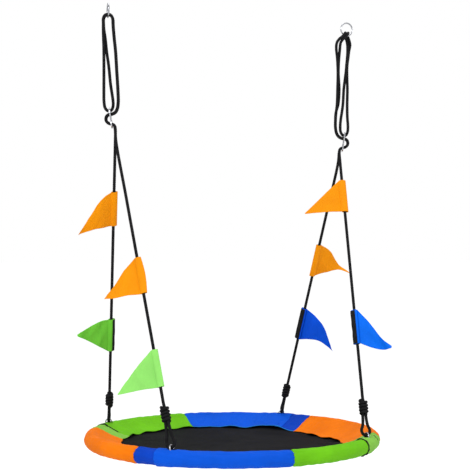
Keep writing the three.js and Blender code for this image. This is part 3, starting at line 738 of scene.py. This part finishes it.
def hem_radius(theta):
    """Where the flap ends: it reaches further in at the right, and waves all the way round."""
    wave = 0.0035 * ripples(np.radians(theta) * SEAT_R, 0 * theta, 0.16, 1.0, 91)
    return HEM_R + wave - 0.030 * near(apart(theta, 6), 22) - 0.024 * near(apart(theta, 61), 8)


def mat_height(r, theta):
    """The mat's height at a place: level in the tube's slit, then falling to the flap's end."""
    fall = np.clip((FALL_R - r) / (FALL_R - HEM_R), 0, 1)
    slack = 0.005 * near(apart(theta, 8), 26) * np.clip((r - 0.15) / 0.2, 0, 1)
    sag = MAT_SAG * (1 - np.clip(r / HEM_R, 0, 1) ** 2)
    return SEAT_Z - (MAT_DROP + slack) * fall - sag


def by_column(upper, pad, lower):
    """A number for each column across a panel: over its upper flap, round the pad and over its lower flap."""
    parts = zip((upper, pad, lower), (FLAP_COLUMNS, ROUND_COLUMNS, FLAP_COLUMNS))
    return np.concatenate([np.broadcast_to(value, count) for value, count in parts])[None, :]


def flap(theta, above):
    """One flap of the cover, above or below the mat, from its hem to the pad: (rows, columns, 2) out and up."""
    side = 1 if above else -1
    edge = math.radians(TOP_EDGE if above else LOW_EDGE)
    root = np.array([math.cos(edge), math.sin(edge)]) * PAD_R
    tip_r = hem_radius(theta)
    share = np.linspace(0, 1, FLAP_COLUMNS, endpoint=False)[None, :]
    out = (tip_r - SEAT_R)[:, None] * (1 - share) + root[0] * share
    # the upper cloth comes down in a shallow curve to lie on the mat, the lower one stays clear of it
    stand, curve = (0.0016, 1.6) if above else (0.0070, 2.2)
    ride = side * (stand + (abs(root[1]) - stand) * share**curve)
    up = mat_height(SEAT_R + out, theta[:, None]) - SEAT_Z + ride
    return np.stack([out, up], axis=2)


def swelling(arc, across, turned, begins, ends, seed):
    """How far a panel's cloth stands off its plain shape: long folds that follow the rim, short puckers at each
    seam, and grooves where it is sewn."""
    to_start = arc - arc[0]
    to_end = arc[-1] - arc
    swell = 0.0008 * ripples(arc, across, 0.16, 0.022, seed)
    swell = swell + 0.0006 * ripples(arc, across, 0.05, 0.09, seed + 1)
    pucker = 0.0011 * ripples(arc, across, 0.3, 0.013, seed + 2)
    swell = swell + pucker * (near(to_start, 0.035) + near(to_end, 0.035))
    # the foam gives a little under two lines of sewing that run round the outside of the rim
    wander = 0.0012 * ripples(arc, 0 * arc, 0.2, 1.0, seed + 5)
    round_pad = by_column(FAR_ROUND, turned, -FAR_ROUND)
    for line in FELLED:
        swell = swell - 0.0010 * near(np.radians(round_pad - line) * PAD_R - wander, 0.0022)
    for how, away in ((begins, to_start), (ends, to_end)):
        if how == "sewn":
            swell = swell - 0.0022 * near(away, 0.005)
        elif how == "over":
            swell = swell + 0.0019 * near(np.maximum(away - 0.05, 0), 0.03)
        else:
            swell = swell - 0.0012 * near(away, 0.05)
    return np.minimum(swell * (0.4 + 0.6 * by_column(0, 1, 0)) + 0.0003, PAD_ROOM)


def flap_rise(theta, arc, across, seed):
    """How far the upper flap lifts off the mat: its hem waves, and it cushions between its creases."""
    lift = np.clip(0.0045 + 0.0036 * ripples(arc, 0 * arc, 0.17, 1.0, 90), 0.0006, 0.010)
    # at the back it lies down flat beside a crest
    from_crest = apart(theta, 46)[:, None]
    lift = lift * (1 - near(from_crest + 16, 8)) + 0.006 * near(from_crest, 8)
    loose = by_column(1 - np.linspace(0, 1, FLAP_COLUMNS, endpoint=False), 0, 0)
    creases = 0.0016 * ripples(arc, across, 0.06, 0.14, seed + 3) * loose * (1 - loose) * 4
    return lift * loose**3 + np.abs(creases)


def cover_grid(start, end, begins, ends, seed):
    """Points of one panel of the cover, (round the seat, across the cover, 3), and its cloth coordinates."""
    low = start - REACH[begins]
    high = end + REACH[ends]
    theta = np.linspace(low, high, round((high - low) / COLUMN_PITCH) + 1)
    turned = np.linspace(TOP_EDGE, LOW_EDGE, ROUND_COLUMNS)
    facing = np.stack([np.cos(np.radians(turned)), np.sin(np.radians(turned))], axis=1)
    pad = np.broadcast_to(facing * PAD_R, (len(theta), ROUND_COLUMNS, 2))
    section = np.concatenate([flap(theta, True), pad, flap(theta, False)[:, ::-1]], axis=1)
    across = lengths(section.mean(axis=0))[None, :]
    arc = np.radians(theta)[:, None] * SEAT_R
    swell = swelling(arc, across, turned, begins, ends, seed)
    out = section[..., 0] + by_column(0, facing[:, 0], 0) * swell
    up = section[..., 1] + by_column(1, facing[:, 1], -1) * swell + flap_rise(theta, arc, across, seed)
    radial = np.stack([np.cos(np.radians(theta)), np.sin(np.radians(theta)), 0 * theta], axis=1)
    points = radial[:, None] * (SEAT_R + out)[..., None] + UP * (SEAT_Z + up)[..., None]
    uv = np.stack(np.broadcast_arrays(arc, across), axis=2)
    return points, uv, theta


SLIT_HALF = (0.0165, 0.0062)  # along the rim, and across it


def round_column(degrees):
    """The column of a panel's points that is this far up round the pad from its outside."""
    return FLAP_COLUMNS + round((TOP_EDGE - degrees) / (TOP_EDGE - LOW_EDGE) * (ROUND_COLUMNS - 1))


def open_slit(points, theta, angle):
    """Opens an oval slit for the lug: points inside it move to its edge. Gives the points that were inside,
    and the slit's edge as a closed line."""
    along = np.radians(theta - angle)[:, None] * SEAT_R
    radius = np.hypot(points[..., 0], points[..., 1])
    across = radius - SEAT_R
    top = points[..., 2] > SEAT_Z + PAD_R * 0.5
    q = np.hypot(along / SLIT_HALF[0], across / SLIT_HALF[1])
    inside = (q < 1) & top
    push = np.where(inside, 1 / np.maximum(q, 0.05), 1.0)
    new_along = np.where(inside, along * push, np.broadcast_to(along, q.shape))
    new_across = np.where(inside, across * push, across)
    turn = np.radians(angle) + new_along / SEAT_R
    points[..., 0] = (SEAT_R + new_across) * np.cos(turn)
    points[..., 1] = (SEAT_R + new_across) * np.sin(turn)
    height = float(points[np.abs(theta - angle).argmin(), round_column(90), 2])
    edge = []
    for a in np.linspace(0, 2 * math.pi, 48, endpoint=False):
        t = math.radians(angle) + SLIT_HALF[0] * math.cos(a) / SEAT_R
        r = SEAT_R + SLIT_HALF[1] * math.sin(a)
        edge.append([r * math.cos(t), r * math.sin(t), height - 0.0004 - 0.5 * (r - SEAT_R) ** 2 / PAD_R])
    return inside, np.array(edge)


def stitches(name, lines, color):
    """Threads laid along lines as short stitches, each a small closed spindle."""
    length, gap, thick, sides = 0.0036, 0.0056, 0.00042, 5
    verts, faces = [], []
    angle = np.linspace(0, 2 * math.pi, sides, endpoint=False)
    for line in lines:
        dense = even(line, gap)
        a, b = square_frames(dense)
        for p, q, u, v in zip(dense[:-1], dense[1:], a, b):
            t = unit(q - p)
            first = len(verts)
            for share, wide in ((0.0, 0.45), (0.25, 1.0), (0.75, 1.0), (1.0, 0.45)):
                centre = p + t * length * share
                verts += [centre + thick * wide * (u * math.cos(k) + v * math.sin(k)) for k in angle]
            for ring in range(3):
                for k in range(sides):
                    i = first + ring * sides
                    j = (k + 1) % sides
                    faces.append((i + k, i + j, i + sides + j, i + sides + k))
            faces.append(tuple(first + k for k in reversed(range(sides))))
            faces.append(tuple(first + 3 * sides + k for k in range(sides)))
    mesh = bpy.data.meshes.new(name)
    mesh.from_pydata([tuple(v) for v in verts], [], faces)
    mesh.polygons.foreach_set("use_smooth", [True] * len(faces))
    made = bpy.data.objects.new(name, mesh)
    bpy.context.scene.collection.objects.link(made)
    return dress(made, color)


def thicken(piece, thickness):
    shell = piece.modifiers.new("cloth_thickness", "SOLIDIFY")
    shell.thickness = thickness
    shell.offset = 0


def bind_edges(node, points, theta, begins):
    """The black tape that shows on a panel: on its end, down to the middle of the flap, and in a short slit."""
    if node in BOUND_EDGES:
        row = points[0] if begins == "over" else points[-1]
        edge = tube(f"edge_{BOUND_EDGES[node]}", even(row[FLAP_COLUMNS // 2:], 0.003), EDGE_BINDING_R, 10)
        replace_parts(dress(edge, "tape"), BOUND_EDGES[node])
    if node in VENTS:
        row = points[np.abs(theta - VENTS[node]).argmin()]
        across = row[round_column(VENT[0]):round_column(VENT[1])]
        dress(tube(f"vent_binding_{node}", even(across, 0.002), VENT_BINDING_R, 10), "tape")


def sewing_lines(points, theta, begins, ends):
    """The lines of stitches on a panel: along its hem, where the flap leaves the pad, and beside each seam."""
    stand = CLOTH / 2 + 0.0001
    lines = [points[:, 2] + UP * stand, points[:, FLAP_COLUMNS - 1] + UP * stand]
    for row, how in ((9, begins), (-10, ends)):
        if how == "sewn":
            face = points[row, FLAP_COLUMNS:-FLAP_COLUMNS]
            centre = direction(theta[row]) * SEAT_R + UP * SEAT_Z
            lines.append(centre + (face - centre) * (1 + stand / PAD_R))
    return lines


def make_cover():
    sewing = {"blue": [], "deep_blue": [], "green": [], "pale_green": [], "orange": []}
    for seed, (node, color, start, end, begins, ends) in enumerate(PANELS):
        points, uv, theta = cover_grid(start, end, begins, ends, 10 * seed)
        drop = None
        for how, angle in ((begins, start), (ends, end)):
            if how == "over":
                drop, edge = open_slit(points, theta, angle)
                slit = tube(f"slit_binding_{node}", edge, SLIT_BINDING_R, 8, closed=True)
                dress(slit, "tape")
        panel = dress(surface(f"pad_{node}", points, uv=uv, drop=drop), color)
        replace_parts(panel, node)
        thicken(panel, CLOTH)
        bind_edges(node, points, theta, begins)
        # the blue panels get a rolled hem along the flap's edge, coloured lighter blue as a painted highlight
        if "blue" in color:
            dress(tube(f"hem_{node}", even(points[:, 0], 0.004), HEM_HIGHLIGHT_R, 8), "hem_highlight_blue")
        sewing[color] += sewing_lines(points, theta, begins, ends)
    for color, lines in sewing.items():
        stitches(f"cover_stitching_{color}", lines, color)


# ------------------------------------------------------------------ mat
def make_mat():
    """Woven mat held all round by the frame: it falls to the cover's hem, sags a little and ripples."""
    r = np.concatenate([np.linspace(0.004, 0.30, 34), np.linspace(0.306, MAT_R, 40)])[:, None]
    theta = np.linspace(0, 360, 288, endpoint=False)[None, :]
    turn = np.radians(theta)
    rim = near(r - HEM_R, 0.06)
    pleats = 0.0014 * np.sin(23 * turn + 1.5 * np.sin(3 * turn)) * ripples(turn, r, 1.4, 0.6, 70)
    # wedge folds run in from the hem
    wedges = sum(0.0035 * near(apart(theta, at) * (0.4 + r), 1.6) for at in (-14, -2, 12, 172, 186))
    x, y = r * np.cos(turn), r * np.sin(turn)
    z = mat_height(r, theta) + rim * (pleats - wedges * np.clip((r - 0.2) / 0.15, 0, 1))
    z = z + 0.0010 * ripples(x, y, 0.22, 0.22, 71) * (1 - np.clip((r - HEM_R) / 0.03, 0, 1))
    points = np.stack(np.broadcast_arrays(x, y, z), axis=2)
    closed = np.concatenate([points, points[:, :1]], axis=1)
    made = surface("seat_mat", points, wrap_columns=True, uv=closed[..., :2])
    fill_mesh(made.data, points.shape[1])
    dress(made, "mat")
    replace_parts(made, "mat")
    thicken(made, CLOTH)


def fill_mesh(mesh, count):
    """Closes the small hole in the middle of a round grid, whose first ring has this many points."""
    work = bmesh.new()
    work.from_mesh(mesh)
    work.verts.ensure_lookup_table()
    work.faces.new([work.verts[k] for k in reversed(range(count))])
    work.to_mesh(mesh)
    work.free()


# ------------------------------------------------------------------ flags
# Each pennant: how far down its leg it starts as a share of the leg, how far its tip reaches out and hangs
# below its top corner, and its turn round the leg. top and bottom say how far each edge bows up at a third and
# two thirds of the way to the tip, and curl how far the cloth leaves its own plane there and at the tip.
PLAIN_FLAG = dict(
    blunt=0.003,  # how tall the tip is
    bulge=0.0,  # how far the sleeve's outer fold stands out halfway down
    strip=0.0,  # how much of the sleeve the black hook-and-loop tape covers, from that fold
)
FLAGS = {
    "back_left_upper": dict(
        share=0.208, reach=0.127, drop=0.133, turn=215, color="flag_orange",
        top=(0.023, 0.017), bottom=(0.006, 0.008), curl=(0.006, 0.004, -0.006),
    ),
    "front_left_upper": dict(
        share=0.47, reach=0.146, drop=0.092, turn=150, color="flag_orange",
        top=(0.002, -0.005), bottom=(0.0, -0.004), curl=(0.008, 0.01, 0.004), bulge=0.006,
    ),
    "back_left_lower": dict(
        share=0.7, reach=0.13, drop=0.035, turn=212, color="flag_green",
        top=(0.009, 0.002), bottom=(0.001, 0.0), curl=(0.004, -0.004, 0.01), strip=0.012,
    ),
    "front_left_lower": dict(
        share=0.805, reach=0.147, drop=0.105, turn=158, color="flag_pale_green",
        top=(0.002, 0.001), bottom=(0.001, 0.0), curl=(0.006, 0.006, 0.0),
    ),
    "front_right_upper": dict(
        share=0.104, reach=0.147, drop=0.13, turn=195, color="flag_orange",
        top=(0.001, 0.0), bottom=(0.0, 0.0), curl=(0.004, 0.003, 0.0),
    ),
    "back_right_upper": dict(
        share=0.376, reach=0.147, drop=0.092, turn=35, color="flag_orange",
        top=(0.009, -0.007), bottom=(0.0085, 0.0155), curl=(-0.004, -0.014, -0.026),
    ),
    "back_right_lower": dict(
        share=0.657, reach=0.147, drop=0.111, turn=-38, color="flag_blue",
        top=(0.025, 0.034), bottom=(0.018, 0.024), curl=(-0.008, -0.006, 0.012), blunt=0.004, strip=0.02,
    ),
    "front_right_lower": dict(
        share=0.65, reach=0.124, drop=0.15, turn=-33, color="flag_bright_blue",
        top=(-0.002, -0.013), bottom=(-0.0075, -0.008), curl=(0.006, 0.01, -0.008), blunt=0.008, strip=0.018,
    ),
}
SLEEVE = [  # round the rope, from the seam at the back, round the outer fold, to the seam at the front
    (0.0105, -0.0009), (0.0065, -0.0048), (0.002, -0.0066), (-0.003, -0.0068), (-0.008, -0.0055),
    (-0.0118, -0.0028), (-SLEEVE_R, 0.0), (-0.0118, 0.0028), (-0.008, 0.0055), (-0.003, 0.0068),
    (0.002, 0.0066), (0.0065, 0.0048), (0.0105, 0.0012),
]


def bowed(share, amounts):
    """A bow that is nothing at both ends and has these two amounts at a third and two thirds."""
    return np.interp(share, np.linspace(0, 1, 25), smooth(
        [(0, 0, 0), (1 / 3, 0, amounts[0]), (2 / 3, 0, amounts[1]), (1, 0, 0)], 1 / 24)[:25, 2])


def flag_frame(leg, flag):
    h = HANGERS[leg]
    a = math.radians(flag["turn"])
    level = ALONG * math.cos(a) + DEEP * math.sin(a)
    outward = unit(level - h.up * np.dot(level, h.up))
    return h.start - h.up * flag["share"] * h.leg, outward, np.cross(h.up, outward), h.up


def make_flag(name, flag, seed):
    leg = name.rsplit("_", 1)[0]
    node = f"flag_{name}"
    top, outward, sideways, up = flag_frame(leg, flag)
    sleeve = smooth([(x, y, 0) for x, y in SLEEVE], 0.0016)
    blade = np.linspace(0, 1, 60)[1:]
    start = sleeve[-1]
    x = np.concatenate([sleeve[:, 0], start[0] + blade * (flag["reach"] - start[0])])
    share = np.concatenate([np.zeros(len(sleeve)), blade])
    curl = np.interp(share, [0, 1 / 3, 2 / 3, 1], [0, *flag["curl"]])
    curl = np.convolve(np.pad(curl, 6, mode="edge"), np.ones(13) / 13, mode="valid")
    down = np.linspace(0, 1, 41)[None, :]
    share, x, curl = share[:, None], x[:, None], curl[:, None]
    upper = -flag["drop"] * share + bowed(share, flag["top"])
    lower = -FLAG_HEIGHT + (FLAG_HEIGHT - flag["drop"] - flag["blunt"]) * share + bowed(share, flag["bottom"])
    z = upper + (lower - upper) * down
    flat_y = np.concatenate([sleeve[:, 1], np.full(len(blade), start[1])])[:, None]
    on_blade = np.clip(share * 4, 0, 1)
    ruffle = 0.0016 * ripples(x, z, 0.07, 0.10, seed) + 0.0006 * ripples(x, z, 0.03, 0.05, seed + 1)
    y = flat_y + on_blade * (curl * (0.6 + 0.8 * down) + ruffle)
    outside = np.clip(-x / SLEEVE_R, 0, 1)
    x = x - flag["bulge"] * outside * np.sin(math.pi * down)
    points = top + outward * x[..., None] + sideways * y[..., None] + up * z[..., None]
    along = lengths(np.stack([x[:, 0], y[:, 20], 0 * x[:, 0]], axis=1))[:, None]
    uv = np.stack(np.broadcast_arrays(along, z), axis=2)
    piece = dress(surface(f"pennant_{name}", points, uv=uv), flag["color"], node)
    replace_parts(piece, node)
    thicken(piece, FLAG_CLOTH)
    if flag["strip"]:
        hook_strip(name, flag["strip"], top, outward, sideways, up, sleeve)
    seam = len(sleeve) + 1
    sewn = points[seam] + sideways * 0.0006
    thread = stitches(f"sleeve_stitching_{name}", [sewn], flag["color"])
    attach(thread, node)


def hook_strip(name, width, top, outward, sideways, up, sleeve):
    """The black hook-and-loop tape on the outside of a sleeve, with a slightly wavy edge."""
    fold = int(sleeve[:, 0].argmin())
    reach = [k for k in range(len(sleeve)) if sleeve[k, 0] < sleeve[fold, 0] + width]
    taken = sleeve[reach[0]:reach[-1] + 1]
    tangent = np.gradient(taken, axis=0)
    facing = np.stack([-tangent[:, 1], tangent[:, 0]], axis=1)
    facing /= np.linalg.norm(facing, axis=1)[:, None]
    z = np.linspace(-0.002, -FLAG_HEIGHT + 0.001, 40)[None, :]
    wave = 0.0004 * ripples(z, 0 * z, 0.05, 1.0, 45 + len(name)) + 0.0013
    x = taken[:, :1] + facing[:, :1] * wave
    y = taken[:, 1:2] + facing[:, 1:2] * wave
    z = np.broadcast_to(z, x.shape)
    points = top + outward * x[..., None] + sideways * y[..., None] + up * z[..., None]
    made = surface(f"hook_strip_{name}", points)
    thicken(made, TAPE)
    return dress(made, "tape", f"flag_{name}")


def make_flags():
    for seed, (name, flag) in enumerate(FLAGS.items()):
        make_flag(name, {**PLAIN_FLAG, **flag}, 200 + 10 * seed)


make_camera()
make_ropes()
make_studio()
make_steel()
make_cover()
make_mat()
make_flags()
